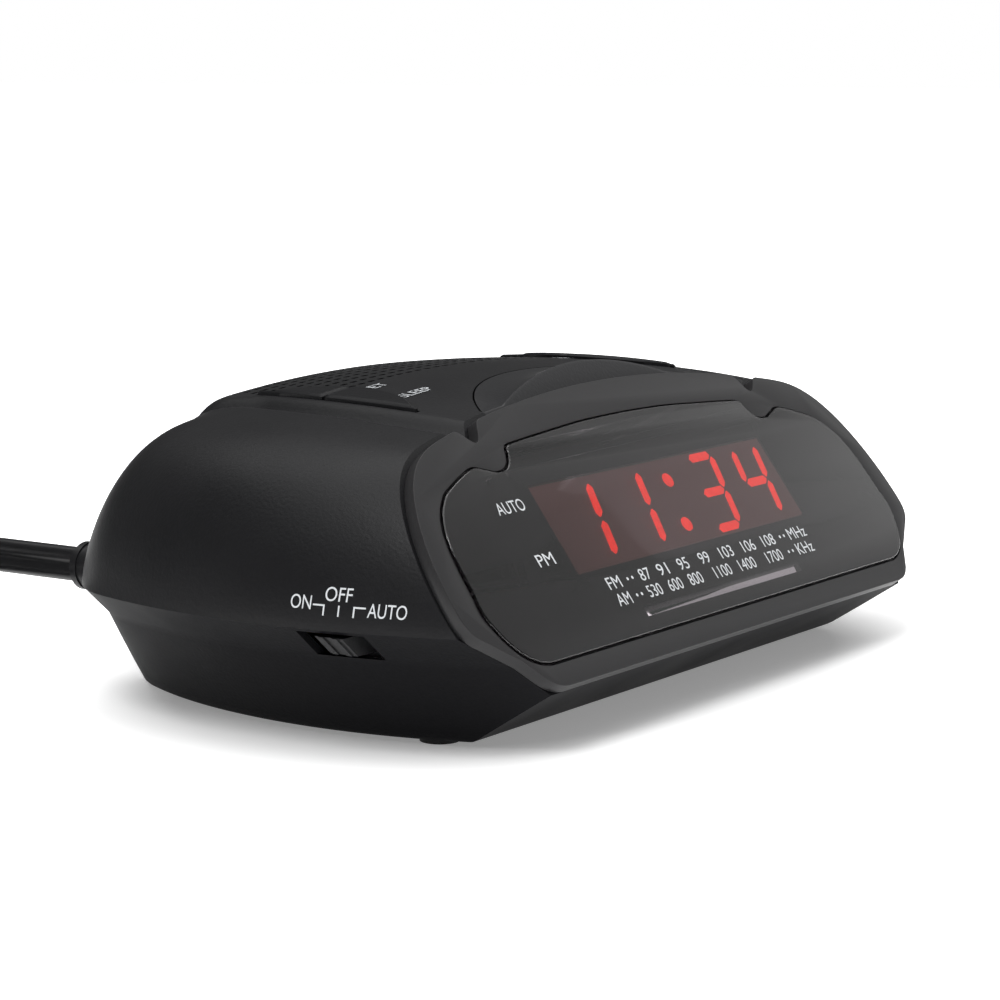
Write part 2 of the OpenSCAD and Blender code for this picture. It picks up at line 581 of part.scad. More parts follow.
basket = [[10, -17], [13, -17], [20.4, -3], [23, -2], [23, 0], [19.4, 0], [19.4, -2], [12, -15], [10, -15]];
module speaker_frame() color("#9a9da1") translate([speaker_at[0], speaker_at[1], speaker_z]) {
    rotate_extrude($fn = 96) polygon(basket);
    for (i = [-1, 1], j = [-1, 1]) translate([i * speaker_post, j * speaker_post, -1.2])
        cylinder(r = 3.7, h = 1.2, $fn = 32);
}
module speaker_cone() color("#26262a") translate([speaker_at[0], speaker_at[1], speaker_z])
    rotate_extrude($fn = 96) polygon([[0, -8.6], [5, -9.4], [6, -11], [18.4, -1.6], [19.2, -1.6],
        [19.2, -1.1], [18, -1.1], [6.4, -9.6], [4, -7.6], [0, -7]]);
module speaker_magnet() color("#55585c") translate([speaker_at[0], speaker_at[1], speaker_z - 25])
    difference() {
        cylinder(r = 13, h = 8, $fn = 64);
        translate([0, 0, 7]) cylinder(r = 4, h = 2, $fn = 32);
    }

// ---- battery bay ----
module battery_tray() color("#19191b") translate([tray_at[0], tray_at[1], floor_z]) difference() {
    union() {
        cube(tray);
        translate([0, -3.4, 0]) cube([tray[0], tray[1] + 6.8, 1.2]);
    }
    translate([tray_wall, tray_wall, -1])
        cube([tray[0] - 2 * tray_wall, tray[1] - 2 * tray_wall, tray[2] - tray_wall + 1]);
}
module battery_snap() color("#151517") translate([tray_at[0] + tray_wall, tray_at[1] + 4, floor_z + 6]) {
    cube([1.6, 22, 11]);
    for (y = [5, 17.7]) translate([1.6, y, 5.5]) rotate([0, 90, 0]) cylinder(r = 2.6, h = 2.4, $fn = 32);
}
module battery_door() color("#1d1d1f") difference() {
    translate([tray_at[0] - door_lip, tray_at[1] - door_lip, base_z])
        cube([tray[0] + 2 * door_lip, tray[1] + 2 * door_lip, door_t]);
    for (i = [0:4]) translate([tray_at[0] + 6 + i * 2.4, tray_at[1] + 8, base_z - 1])
        cube([1.1, 14, 1.5]);
}

// ---- fixings and feet ----
module screw_at(p, z, length) translate([p[0], p[1], z]) {
    cylinder(r = 2.8, h = 1.6, $fn = 32);
    cylinder(r = screw_r - 0.2, h = length, $fn = 24);
}
module case_screws() color("#8c8f93") difference() {
    for (p = boss_at) screw_at(p, 2.4, 28);
    for (p = boss_at) translate([p[0], p[1], 2]) for (a = [0, 90]) rotate(a)
        translate([-1.8, -0.35, 0]) cube([3.6, 0.7, 1]);
}
module board_screws() color("#8c8f93") {
    for (p = board_posts) translate([p[0], p[1], board_z + board_t]) cylinder(r = 2.2, h = 1.2, $fn = 32);
    for (p = key_posts) translate([p[0], p[1], key_board_z - 1.2]) cylinder(r = 2.2, h = 1.2, $fn = 32);
    for (p = speaker_posts) translate([p[0], p[1], speaker_z - 2.4]) cylinder(r = 2.2, h = 1.2, $fn = 32);
}
module rubber_feet() color("#101011") for (p = foot_at) translate([p[0], p[1], 0])
    cylinder(r = foot_r, h = foot_z, $fn = 48);

// ---- mains lead ----
relief_end = 66;
relief_ribs = 5;
lead_start = 44;
lead_drop_y = 88;
coil_y = 120;
coil_r = 45.85;
coil_x = lead_x - coil_r;
coil_wind = [32.9, 47.7];
coil_h = 2 * lead[0];
tail_r = 44;
tail_end = 83;
module across_lead(w, h, l) rotate([90, 0, 0]) linear_extrude(l, center = true) square([w, h], center = true);
module strain_relief() color("#141416") translate([lead_x, 0, lead_z]) difference() {
    rotate([-90, 0, 0]) union() {
        translate([0, 0, back_y - wall - 2.8]) cylinder(r = relief_r + 1.5, h = 2.3, $fn = 48);
        translate([0, 0, back_y - wall - 0.6]) cylinder(r = relief_r - 0.1, h = wall + 1, $fn = 48);
        translate([0, 0, back_y + 0.1]) cylinder(r1 = relief_r + 0.8, r2 = relief_r + 0.2, h = 2.4, $fn = 48);
        translate([0, 0, back_y + 2]) cylinder(r = relief_r - 1, h = relief_end - back_y - 2, $fn = 48);
        for (i = [0:relief_ribs - 1]) translate([0, 0, back_y + 3.7 + i * 2.4])
            cylinder(r = relief_r - 0.3 - i * 0.1, h = 1.3, $fn = 48);
    }
    translate([0, 58, 0]) across_lead(lead[1] + 0.1, lead[0] + 0.1, 40);
}

// Flat lead along a route of [x, y, z] points; its wide side stays upright
function lead_frame(route, i) =
    let (a = route[max(0, i - 1)], b = route[min(len(route) - 1, i + 1)], d = (b - a) / norm(b - a),
         side = [d[1], -d[0], 0] / norm([d[0], d[1]]))
    [side, cross(side, d)];
lead_profile = [[1, 0.6], [1, -0.6], [0.6, -1], [-0.6, -1], [-1, -0.6], [-1, 0.6], [-0.6, 1], [0.6, 1]];
module lead_along(route) {
    n = len(lead_profile);
    rings = [for (i = [0:len(route) - 1]) let (f = lead_frame(route, i)) [for (c = lead_profile)
        route[i] + f[0] * c[0] * lead[1] / 2 + f[1] * c[1] * lead[0] / 2]];
    last = (len(route) - 1) * n;
    polyhedron(flat(rings), concat([[for (i = [n - 1:-1:0]) i]],
        [for (r = [0:len(route) - 2], c = [0:n - 1]) let (d = (c + 1) % n)
            [r * n + c, r * n + d, (r + 1) * n + d, (r + 1) * n + c]],
        [[for (i = [0:n - 1]) last + i]]), convexity = 4);
}
// S-bend from the height of the exit down to the top layer of the coil
drop = lead_z - coil_h + lead[0] / 2;
drop_run = coil_y - lead_drop_y;
bend_a = 2 * atan(drop / drop_run);
bend_r = drop_run / 2 / sin(bend_a);
lead_route = concat([[lead_x, lead_start, lead_z]],
    [for (a = spread(0, bend_a, 6)) [lead_x, lead_drop_y + bend_r * sin(a), lead_z - bend_r * (1 - cos(a))]],
    [for (a = spread(bend_a, 0, 6)) if (a < bend_a)
        [lead_x, coil_y - bend_r * sin(a), lead_z - drop + bend_r * (1 - cos(a))]]);
module power_cord() color("#161618") lead_along(lead_route);
module cord_coil() color("#161618") translate([coil_x, coil_y, 0]) rotate_extrude($fn = 96)
    translate([coil_wind[0], 0]) square([coil_wind[1] - coil_wind[0], coil_h]);
plug = [22, 25, 13];
plug_x = coil_x - tail_r;
tail_route = [for (t = spread(0, 1, 6)) [plug_x, mix(coil_y, tail_end - 1, t),
    mix(lead[0] / 2, plug[2] / 2, smooth(0.4, 1, t))]];
module cord_tail() color("#161618") lead_along(tail_route);
module plug_body() color("#161618") translate([plug_x, tail_end, plug[2] / 2]) {
    difference() {
        rotate([90, 0, 0]) linear_extrude(plug[1]) offset(3, $fn = 32)
            square([plug[0] - 6, plug[2] - 6], center = true);
        across_lead(lead[1] + 0.1, lead[0] + 0.1, 8);
        for (side = [-1, 1], i = [0:3]) translate([side * (plug[0] / 2 + 0.3), -6 - i * 3, 0])
            cube([1.6, 1.4, plug[2]], center = true);
    }
}
blade = [1.5, 16.5, 6.35];
blade_pitch = 12.7;
module plug_blades() color("#c9a94a") for (side = [-1, 1])
    translate([plug_x + side * blade_pitch / 2 - blade[0] / 2, tail_end - plug[1] - blade[1],
        (plug[2] - blade[2]) / 2]) difference() {
            cube(blade);
            translate([-1, 4, blade[2] / 2]) rotate([0, 90, 0]) cylinder(r = 1.5, h = 4, $fn = 32);
        }

upper_case();
lower_case();
front_bezel();
display_lens();
snooze_button();
set_button();
sleep_button();
hour_button();
minute_button();
function_knob();
function_switch();
band_knob();
band_switch();
tuning_wheel();
tuning_capacitor();
volume_wheel();
volume_pot();
dial_pointer();
dial_cord();
dial_plate();
display_board();
led_housing();
led_segments();
ribbon_cable();
key_board();
tact_switches();
main_board();
clock_chip();
radio_chip();
if_cans();
electrolytics();
transformer_core();
transformer_winding();
ferrite_rod();
antenna_coil();
speaker_frame();
speaker_cone();
speaker_magnet();
battery_tray();
battery_snap();
battery_door();
case_screws();
board_screws();
rubber_feet();
strain_relief();
power_cord();
cord_coil();
cord_tail();
plug_body();
plug_blades();
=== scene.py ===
"""Looks for the clock radio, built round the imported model. Lengths in millimetres until a mesh is made."""
import json
import math

import bpy
from mathutils import Matrix, Vector


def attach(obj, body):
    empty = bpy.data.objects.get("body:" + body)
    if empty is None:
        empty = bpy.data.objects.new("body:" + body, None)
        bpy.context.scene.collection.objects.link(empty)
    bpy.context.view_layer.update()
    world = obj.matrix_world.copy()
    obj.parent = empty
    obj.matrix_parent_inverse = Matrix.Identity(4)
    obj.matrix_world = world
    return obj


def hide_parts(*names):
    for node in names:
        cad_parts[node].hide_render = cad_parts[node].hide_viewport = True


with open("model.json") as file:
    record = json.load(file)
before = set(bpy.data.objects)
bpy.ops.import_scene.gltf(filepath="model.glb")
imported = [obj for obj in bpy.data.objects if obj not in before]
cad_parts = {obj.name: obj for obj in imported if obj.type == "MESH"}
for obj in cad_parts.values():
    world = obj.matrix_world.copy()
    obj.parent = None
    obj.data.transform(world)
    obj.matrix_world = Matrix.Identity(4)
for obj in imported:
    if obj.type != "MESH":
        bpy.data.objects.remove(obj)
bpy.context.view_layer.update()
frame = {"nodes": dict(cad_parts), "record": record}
MM = 0.001

# ---------------------------------------------------------------- camera
camera_data = bpy.data.cameras.new("camera")
camera_data.lens = 108
camera_data.sensor_width = 36
camera = bpy.data.objects.new("camera", camera_data)
bpy.context.scene.collection.objects.link(camera)
look = Vector((0.8220, 0.5502, -0.1467)).normalized()
across = look.cross(Vector((0, 0, 1))).normalized()
camera_up = across.cross(look)
turn = Matrix((across, camera_up, -look)).transposed()
camera.matrix_world = Matrix.Translation(Vector((-473.5, -312.6, 115.9)) * MM) @ turn.to_4x4()
bpy.context.scene.camera = camera


# ---------------------------------------------------------------- small helpers
def mix(a, b, t):
    return a + (b - a) * t


def smooth(a, b, x):
    t = min(1, max(0, (x - a) / (b - a)))
    return t * t * (3 - 2 * t)


def spread(a, b, n):
    return [mix(a, b, i / n) for i in range(n + 1)]


def finer(values, n):
    """The same list with n steps where it had one."""
    out = []
    for a, b in zip(values, values[1:]):
        out += [mix(a, b, i / n) for i in range(n)]
    return out + [values[-1]]


def make(name, points, faces, body, slot, angle=35, flat=False):
    """A mesh object from millimetre points, on a body and with a slot's material."""
    mesh = bpy.data.meshes.new(name)
    mesh.from_pydata([Vector(p) * MM for p in points], [], faces)
    return finish_mesh(name, mesh, body, slot, angle, flat)


def finish_mesh(name, mesh, body, slot, angle=35, flat=False):
    obj = bpy.data.objects.new(name, mesh)
    bpy.context.scene.collection.objects.link(obj)
    if not flat:
        mesh.shade_smooth()
        mesh.set_sharp_from_angle(angle=math.radians(angle))
    if slot:
        mesh.materials.clear()
        mesh.materials.append(material_of(slot))
    if body:
        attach(obj, body)
    return obj


def baked(obj):
    """The object's mesh with its modifiers applied."""
    graph = bpy.context.evaluated_depsgraph_get()
    mesh = bpy.data.meshes.new_from_object(obj.evaluated_get(graph), depsgraph=graph)
    bpy.data.objects.remove(obj)
    return mesh


def shaped(name, base, body, slot, cutters=(), bevel=0.0, angle=35, bevel_angle=50):
    """base with the cutters taken out and its sharp edges rounded."""
    for tool in cutters:
        step = base.modifiers.new("cut", "BOOLEAN")
        step.operation = "DIFFERENCE"
        step.object = tool
        step.solver = "MANIFOLD"
    if bevel:
        edge = base.modifiers.new("edge", "BEVEL")
        edge.width = bevel * MM
        edge.segments = 3
        edge.limit_method = "ANGLE"
        edge.angle_limit = math.radians(bevel_angle)
        edge.harden_normals = False
    mesh = baked(base)
    for tool in cutters:
        bpy.data.objects.remove(tool)
    return finish_mesh(name, mesh, body, slot, angle)


def prism(outline, z0, z1, place=Matrix()):
    """A tool: the plan outline between two heights, moved by place."""
    n = len(outline)
    points = [place @ Vector((x, y, z)) for z in (z0, z1) for x, y in outline]
    faces = [list(range(n - 1, -1, -1)), list(range(n, 2 * n))]
    faces += [[i, (i + 1) % n, n + (i + 1) % n, n + i] for i in range(n)]
    return make("tool", points, faces, None, None, flat=True)


def prisms(outlines, z0, z1, place=Matrix()):
    """Several prisms as one tool."""
    points = []
    faces = []
    for outline in outlines:
        n = len(outline)
        at = len(points)
        points += [place @ Vector((x, y, z)) for z in (z0, z1) for x, y in outline]
        faces += [[at + i for i in range(n - 1, -1, -1)], [at + n + i for i in range(n)]]
        faces += [[at + i, at + (i + 1) % n, at + n + (i + 1) % n, at + n + i] for i in range(n)]
    return make("tool", points, faces, None, None, flat=True)


def rectangle(x0, y0, x1, y1):
    return [(x0, y0), (x1, y0), (x1, y1), (x0, y1)]


def disc(x, y, r, n=48):
    return [(x + r * math.cos(2 * math.pi * i / n), y + r * math.sin(2 * math.pi * i / n)) for i in range(n)]


# ---------------------------------------------------------------- materials
def node_material(name):
    made = bpy.data.materials.new(name)
    made.use_nodes = True
    tree = made.node_tree
    return made, tree, tree.nodes["Principled BSDF"]


def noise(tree, scale, detail=3.0, rough=0.5):
    where = tree.nodes.new("ShaderNodeTexCoord")
    texture = tree.nodes.new("ShaderNodeTexNoise")
    texture.inputs["Scale"].default_value = scale
    texture.inputs["Detail"].default_value = detail
    texture.inputs["Roughness"].default_value = rough
    tree.links.new(where.outputs["Object"], texture.inputs["Vector"])
    return texture.outputs["Fac"]


def ramped(tree, source, low, high, start=0.3, end=0.7):
    span = tree.nodes.new("ShaderNodeMapRange")
    span.inputs["From Min"].default_value = start
    span.inputs["From Max"].default_value = end
    span.inputs["To Min"].default_value = low
    span.inputs["To Max"].default_value = high
    tree.links.new(source, span.inputs["Value"])
    return span.outputs["Result"]


def bumped(tree, shader, source, strength, height):
    bump = tree.nodes.new("ShaderNodeBump")
    bump.inputs["Strength"].default_value = strength
    bump.inputs["Distance"].default_value = height * MM
    tree.links.new(source, bump.inputs["Height"])
    tree.links.new(bump.outputs["Normal"], shader.inputs["Normal"])


def tinted(tree, shader, source, colour, spread_by):
    """Colour that wanders a little round its mean."""
    blend = tree.nodes.new("ShaderNodeMix")
    blend.data_type = "RGBA"
    blend.inputs["A"].default_value = [c * (1 - spread_by) for c in colour] + [1]
    blend.inputs["B"].default_value = [c * (1 + spread_by) for c in colour] + [1]
    tree.links.new(source, blend.inputs["Factor"])
    tree.links.new(blend.outputs["Result"], shader.inputs["Base Color"])


# How each class of material is finished: roughness range, grain per metre, bump strength and height, metallic
FINISHES = {
    "matte_plastic": (0.40, 0.52, 1500, 0.7, 0.06, 0),
    "gloss_plastic": (0.18, 0.28, 900, 0.06, 0.02, 0),
    "rubber": (0.42, 0.58, 1500, 0.15, 0.03, 0),
    "fabric": (0.75, 0.9, 2500, 0.5, 0.08, 0),
    "brushed_steel": (0.25, 0.42, 700, 0.12, 0.02, 1),
    "brass": (0.2, 0.36, 700, 0.1, 0.02, 1),
    "cast_iron": (0.45, 0.6, 1200, 0.3, 0.05, 0),
}
# Slots with a roughness of their own
ROUGHNESS = {
    "case_top": (0.40, 0.50),
    "case_bottom": (0.46, 0.56),
    "front_plate": (0.30, 0.36),
    "snooze": (0.30, 0.36),
    "keys": (0.36, 0.44),
    "lead": (0.30, 0.42),
}
# How strongly each of the dark mouldings shines
SPECULAR = {
    "case_top": 0.2,
    "case_bottom": 0.06,
    "front_plate": 0.2,
    "snooze": 0.2,
    "keys": 0.12,
    "lead": 0.3,
}
# Painted light: slots that are no lamps but get a little emission, colour and strength: the dial plate and
# pointer made bright past the shade of their slot, the display housing a faint painted reddish glow
PAINTED_GLOW = {
    "display_housing": ((1.0, 0.42, 0.36), 0.16),
    "dial_plate": ((1.0, 1.0, 1.0), 0.9),
    "pointer": ((1.0, 1.0, 1.0), 3.5),
}
made_materials = {}


def plain_finish(name, entry):
    made, tree, shader = node_material(name)
    low, high, grain, strength, height, metal = FINISHES[entry["class"]]
    low, high = ROUGHNESS.get(name, (low, high))
    colour = entry["base_color"][:3]
    fine = noise(tree, grain)
    broad = noise(tree, 45, 2.0)
    tinted(tree, shader, broad, colour, 0.12)
    tree.links.new(ramped(tree, broad, low, high), shader.inputs["Roughness"])
    bumped(tree, shader, fine, strength, height)
    shader.inputs["Metallic"].default_value = metal
    if not metal:
        shader.inputs["Specular IOR Level"].default_value = SPECULAR.get(name, 0.3)
    # Painted light: emission on slots that are no lamps
    if name in PAINTED_GLOW:
        glow, strength = PAINTED_GLOW[name]
        shader.inputs["Emission Color"].default_value = (*glow, 1)
        shader.inputs["Emission Strength"].default_value = strength
    return made


def lens_finish(name, entry):
    """Smoked clear plastic: light passes through, dimmed, and the surface mirrors the room."""
    made, tree, shader = node_material(name)
    shader.inputs["Transmission Weight"].default_value = 1
    shader.inputs["IOR"].default_value = 1.49
    haze = noise(tree, 30, 2.0)
    tinted(tree, shader, haze, (0.30, 0.27, 0.29), 0.03)
    tree.links.new(ramped(tree, haze, 0.02, 0.05), shader.inputs["Roughness"])
    return made


def lit_finish(name, entry):
    made, tree, shader = node_material(name)
    colour = (1.0, 0.035, 0.02)
    glow = noise(tree, 900, 2.0)
    tinted(tree, shader, glow, (0.5, 0.02, 0.015), 0.1)
    shader.inputs["Roughness"].default_value = 0.4
    shader.inputs["Emission Color"].default_value = (*colour, 1)
    tree.links.new(ramped(tree, glow, 2.3, 3.0), shader.inputs["Emission Strength"])
    return made


SPECIAL = {"smoked_lens": lens_finish, "lit_segments": lit_finish}
ENTRIES = {m["slot"]: m for m in frame["record"]["materials"]}


def material_of(slot):
    if slot not in made_materials:
        made_materials[slot] = SPECIAL.get(slot, plain_finish)(slot, ENTRIES[slot])
    return made_materials[slot]


def ink_material():
    """Pale silk-screen ink with the faint mottling that ink has."""
    made, tree, shader = node_material("ink")
    grain = noise(tree, 2500)
    tinted(tree, shader, grain, (0.60, 0.62, 0.64), 0.08)
    shader.inputs["Roughness"].default_value = 0.5
    return made


for part in frame["record"]["subparts"]:
    node = frame["nodes"][part["node"]]
    node.data.materials.clear()
    node.data.materials.append(material_of(part["material_slot"]))
INK = ink_material()

# ---------------------------------------------------------------- shape of the case
HALF_W, SIDE_R, CORNER_R, BACK_Y = 87, 112.5, 24, 51
SPLIT_Z, CROWN_Z, WALL = 22, 57, 2.2
BASE_HALF_W, BASE_SIDE_R, BASE_CORNER_R, BASE_Z = 70, 90, 17, 0.8
TILT = math.radians(36.4)
BEZEL_T, BEZEL_Z0, LENS_T, POCKET = 2.4, 12.4, 1.6, 1.2
BOW_Y, TOE_Y, FACE_Y0 = -1.4, -33, -60
PLATE_LOW = BEZEL_Z0 - BEZEL_T * math.sin(TILT)
BOW_CX = HALF_W - SIDE_R
CORNER_Y = BACK_Y - CORNER_R
CORNER_X = BOW_CX + math.sqrt((SIDE_R - CORNER_R) ** 2 - (CORNER_Y - BOW_Y) ** 2)
CORNER_A = math.atan2(CORNER_Y - BOW_Y, CORNER_X - BOW_CX)
GAP = 0.35
# Where the lead leaves the back, and the hole for it
LEAD_X, LEAD_Z, LEAD_HOLE_R = -50, 20, 5.3


def side_x(y, t=0):
    if y <= BOW_Y + (SIDE_R - t) * math.sin(CORNER_A):
        return BOW_CX + math.sqrt((SIDE_R - t) ** 2 - (y - BOW_Y) ** 2)
    return CORNER_X + math.sqrt(max(0, (CORNER_R - t) ** 2 - (y - CORNER_Y) ** 2))


def inset_at(x, y):
    ax = abs(x)
    if math.atan2(y - BOW_Y, ax - BOW_CX) > CORNER_A and ax > CORNER_X and y > CORNER_Y:
        return CORNER_R - math.hypot(ax - CORNER_X, y - CORNER_Y)
    return min(SIDE_R - math.hypot(ax - BOW_CX, y - BOW_Y), BACK_Y - y)


def crown(x, y):
    s = (y - 7) / 30
    return CROWN_Z + 0.35 * s - 2 * s * s - 2.65 * (x / 45) ** 2


def shoulder(x, d):
    r = 14 + 14 * smooth(38, 56, abs(x))
    t = max(0, 1 - max(0, d) / r)
    return (1 - t**3.2) ** 0.66


def groove(x, y):
    u = min(1, abs(side_x(min(y, CORNER_Y)) - abs(x) - 36.6) / 4.6)
    return 2.7 * (1 + math.cos(math.pi * u)) / 2 * smooth(BACK_Y - 4, BACK_Y - 16, y)


def skin_z(x, y, t=0):
    rise = (crown(x, y) - t - SPLIT_Z) * shoulder(x, inset_at(x, y) - t)
    return max(SPLIT_Z, SPLIT_Z + rise - groove(x, y))


def face_y(z, back=0):
    return FACE_Y0 + z * math.tan(TILT) + back / math.cos(TILT)


def on_face(back=0):
    """Places plan points on the raked plate: x across, y up the slope, z outward."""
    lean = Matrix.Rotation(math.pi / 2 - TILT, 4, "X")
    return Matrix.Translation((0, FACE_Y0, 0)) @ lean @ Matrix.Translation((0, 0, -back))


def up(z, back=0):
    """Distance up the plate of a point at height z that lies back behind its front face."""
    return z / math.cos(TILT) + back * math.tan(TILT)


def on_plate(points):
    return [(x, up(z)) for x, z in points]


def mirrored(half):
    return half + [(-x, z) for x, z in reversed(half) if x > 1e-6]


COLUMNS = finer([0, 0.25, 0.8, 1.8, 3.2, 5, 8, 12, 17, 23, 29, 32, 34.2, 36.6, 39, 41.2, 44], 4)
MIDDLE = 14
HALF_COLUMNS = len(COLUMNS) + MIDDLE
ROWS = finer([0, 0.1, 0.22, 0.34, 0.46, 0.58, 0.68, 0.76, 0.83, 0.88, 0.92, 0.95, 0.972, 0.987, 0.996, 1], 4)


def column_x(i, y, t=0):
    last = 1 - COLUMNS[-1] / side_x(y)
    if i < len(COLUMNS):
        return side_x(y, t) * (1 - COLUMNS[i] / side_x(y))
    return side_x(y, t) * last * (1 - (i - len(COLUMNS) + 1) / MIDDLE)


def front_end(i, back, t=0):
    y = -45
    for _ in range(8):
        y = face_y(skin_z(column_x(i, y, t), y, t), back)
    return y


def skin(t, back):
    starts = [front_end(i, back, t) for i in range(HALF_COLUMNS)]
    grid = []
    for v in ROWS:
        row = []
        for k in range(2 * HALF_COLUMNS - 1):
            i = min(k, 2 * HALF_COLUMNS - 2 - k)
            y = mix(starts[i], BACK_Y - t, v)
            x = column_x(i, y, t) * (-1 if k < HALF_COLUMNS else 1)
            row.append((x, y, skin_z(x, y, t)))
        grid.append(row)
    return grid


def between(outer, inner):
    """Points and faces of the closed wall between two grids."""
    nr, nc = len(outer), len(outer[0])
    at = nr * nc
    points = [p for grid in (outer, inner) for row in grid for p in row]
    faces = []
    for r in range(nr - 1):
        for c in range(nc - 1):
            a = r * nc + c
            quad = [a, a + 1, a + nc + 1, a + nc]
            faces += [quad, [at + i for i in reversed(quad)]]
    rim = list(range(nc)) + [r * nc + nc - 1 for r in range(1, nr)]
    rim += [(nr - 1) * nc + c for c in range(nc - 2, -1, -1)] + [r * nc for r in range(nr - 2, 0, -1)]
    faces += [[b, a, a + at, b + at] for a, b in zip(rim, rim[1:] + rim[:1])]
    return points, faces


def wall_tool(outer, inner):
    points, faces = between(outer, inner)
    return make("tool", points, faces, None, None, flat=True)


def capped(top, floor):
    return wall_tool(top, [[(x, y, floor) for x, y, _ in row] for row in top])


# ---------------------------------------------------------------- plans of the top controls
SNOOZE_R, SNOOZE_REAR, SNOOZE_HALF = 51.2, -0.5, 37.4
KEY_R, KEY_X, KEY_Y = 23.75, -59.75, 11.5
KEY_ENDS, KEY_SPLIT, KEY_GAP = (-8, 31), 13, 0.7


def snooze_rear(x, grow=0):
    return SNOOZE_REAR - SNOOZE_R + math.sqrt((SNOOZE_R + grow) ** 2 - x * x)


def snooze_plan(grow):
    edge = SNOOZE_HALF + grow
    return [(x, snooze_rear(x, grow)) for x in spread(edge, -edge, 64)] + [(-edge, -40), (edge, -40)]


def key_outer(y, grow=0):
    return 41.7 - side_x(y) - grow


def key_inner(y, grow=0):
    arc = KEY_X + math.sqrt(max(0, (KEY_R + grow) ** 2 - (y - KEY_Y) ** 2))
    return max(key_outer(y) + 0.6 + grow, arc)


def key_plan(y0, y1, grow, side):
    ys = spread(y0, y1, 40)
    left = [(key_inner(y, grow), y) for y in ys] + [(key_outer(y, grow), y) for y in reversed(ys)]
    return left if side < 0 else [(-x, y) for x, y in reversed(left)]


def slot_plan(x, y, length, width):
    """A short slot with round ends."""
    r = width / 2
    outline = []
    for end in (1, -1):
        middle = x + end * (length / 2 - r)
        for i in range(7):
            a = i * math.pi / 6 - end * math.pi / 2
            outline.append((middle + r * math.cos(a), y + r * math.sin(a)))
    return outline


# ---------------------------------------------------------------- case mouldings
GRILLE_ROWS, GRILLE_PITCH, GRILLE_Y0 = 8, 3.0, 15.5
DASH, DASH_W, DASH_PITCH, GRILLE_HALF = 1.9, 0.95, 3.0, 38.5


def grille_tool():
    outlines = []
    for row in range(GRILLE_ROWS):
        shift = DASH_PITCH / 2 * (row % 2)
        count = int(GRILLE_HALF * 2 / DASH_PITCH)
        for i in range(count + 1):
            x = -count * DASH_PITCH / 2 + i * DASH_PITCH + shift - DASH_PITCH / 4
            outlines.append(slot_plan(x, GRILLE_Y0 + row * GRILLE_PITCH, DASH, DASH_W))
    return prisms(outlines, 50, 62)


def lead_hole():
    place = Matrix.Translation((LEAD_X, BACK_Y + 1, LEAD_Z)) @ Matrix.Rotation(math.pi / 2, 4, "X")
    return prism(disc(0, 0, LEAD_HOLE_R), 0, 8, place)


def upper_case():
    base = wall_tool(skin(0, BEZEL_T), skin(WALL, BEZEL_T))
    cutters = [prism(snooze_plan(GAP), 44, 66), grille_tool()]
    for side in (-1, 1):
        cutters.append(prism(key_plan(KEY_ENDS[0] - GAP, KEY_ENDS[1] + GAP, GAP, side), 49, 62))
    cutters.append(lead_hole())
    piece = shaped("case_top_moulding", base, "case", "case_top", cutters, angle=38)
    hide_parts("upper_case")


UNDERCUT_Z, UNDERCUT_SHARE = 16.1, 0.42
# Side slots: their heights, then the middle and length of each on the right and the left
SLOT_LOW, SLOT_HIGH = 16.4, 21.4
RIGHT_SLOTS, LEFT_SLOT = ((-8, 25.2), (24, 25.2), (-28.5, 9.6)), (-18.5, 12.6)
SCREW_HEAD_R, FOOT_HOLE_R = 3.1, 3.6
SCREWS = ((-61, -14), (46, -14), (-48, 38), (48, 38))
FEET = ((-62.3, -25), (62.3, -25), (-57, 24), (57, 24))


def draw_in(z):
    if z > UNDERCUT_Z:
        return UNDERCUT_SHARE * (SPLIT_Z - z) / (SPLIT_Z - UNDERCUT_Z)
    return mix(1, UNDERCUT_SHARE, (z - BASE_Z) / (UNDERCUT_Z - BASE_Z))


def lower_front(z):
    if z >= PLATE_LOW:
        return face_y(z, BEZEL_T)
    return mix(TOE_Y, face_y(PLATE_LOW, BEZEL_T), (z - BASE_Z) / (PLATE_LOW - BASE_Z))


def lower_ring(z, t, inset=0):
    f = draw_in(z)
    w, r, cr = mix(HALF_W, BASE_HALF_W, f), mix(SIDE_R, BASE_SIDE_R, f), mix(CORNER_R, BASE_CORNER_R, f)
    cx, ky = w - r, BACK_Y - cr
    kx = cx + math.sqrt((r - cr) ** 2 - (ky - BOW_Y) ** 2)
    a1 = math.atan2(ky - BOW_Y, kx - cx)
    r, cr = r - t - inset, cr - t - inset
    y0 = lower_front(z) + t + inset
    a0 = math.asin((y0 - BOW_Y) / r)
    half = [(cx + r * math.cos(a), BOW_Y + r * math.sin(a)) for a in spread(a0, a1, 48)]
    half += [(kx + cr * math.cos(a), ky + cr * math.sin(a)) for a in spread(a1 + 0.05, math.pi / 2, 20)]
    return mirrored(half)


